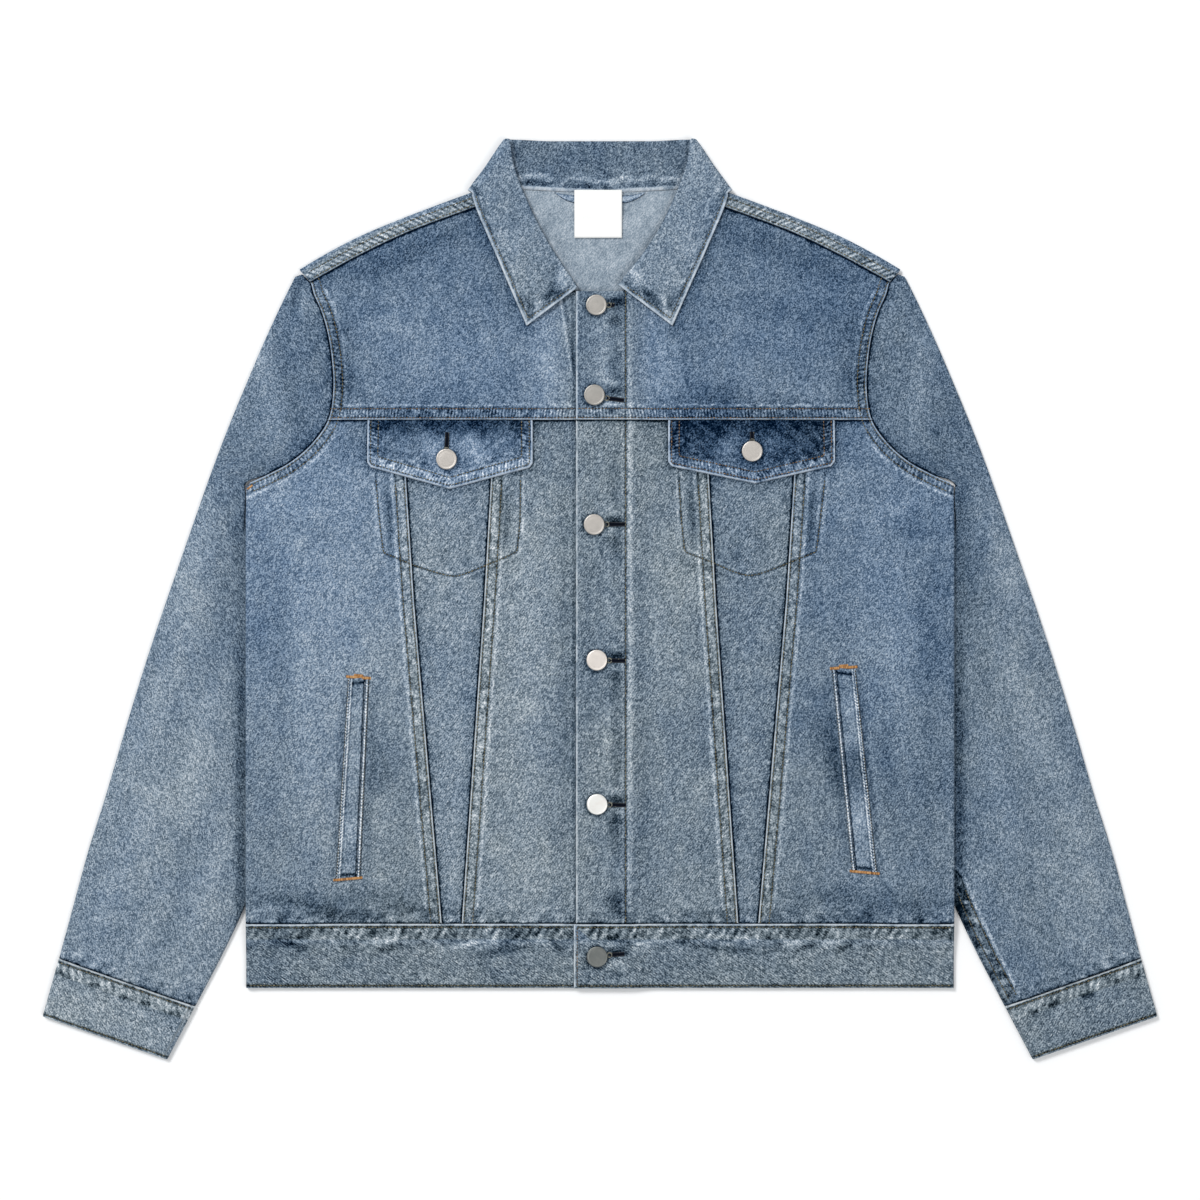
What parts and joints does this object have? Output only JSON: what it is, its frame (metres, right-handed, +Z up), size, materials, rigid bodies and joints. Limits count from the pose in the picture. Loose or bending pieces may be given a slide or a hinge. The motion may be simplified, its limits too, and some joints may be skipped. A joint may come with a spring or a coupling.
{
  "type": "denim jacket",
  "caption": "Button-front denim jacket laid flat on its back, with pointed collar, chest pocket flaps, welt hand pockets, cuffs and a waistband.",
  "frame": {"origin": "bottom centre of the jacket's box, on the surface that it lies on", "axes": "+X from the wearer's right to the wearer's left, +Y towards the collar, +Z up, away from the surface"},
  "size_m": [0.9142, 0.7534, 0.0099],
  "materials": {
    "body_denim": "washed mid-blue twill",
    "faded_denim": "washed twill, paler and greyer",
    "dark_denim": "unfaded indigo twill",
    "band_denim": "washed grey-blue twill, puckered at its seams",
    "collar_denim": "washed twill with white worn edges",
    "label_satin": "plain white woven satin",
    "button_metal": "matte nickel"
  },
  "bodies": {
    "root": {"back": "body_denim", "yoke_right": "body_denim", "side_front_right": "body_denim", "pocket_panel_right": "faded_denim", "centre_front_right": "faded_denim", "flap_right": "dark_denim", "welt_right": "body_denim", "sleeve_right": "body_denim", "cuff_right": "band_denim", "yoke_left": "body_denim", "side_front_left": "body_denim", "pocket_panel_left": "faded_denim", "centre_front_left": "faded_denim", "flap_left": "dark_denim", "welt_left": "body_denim", "sleeve_left": "body_denim", "cuff_left": "band_denim", "waistband": "band_denim", "collar": "collar_denim", "hanger_loop": "body_denim", "neck_label": "label_satin", "button_1": "button_metal", "button_2": "button_metal", "button_3": "button_metal", "button_4": "button_metal", "button_5": "button_metal", "button_6": "button_metal", "flap_button_right": "button_metal", "flap_button_left": "button_metal"}
  },
  "joints": []
}
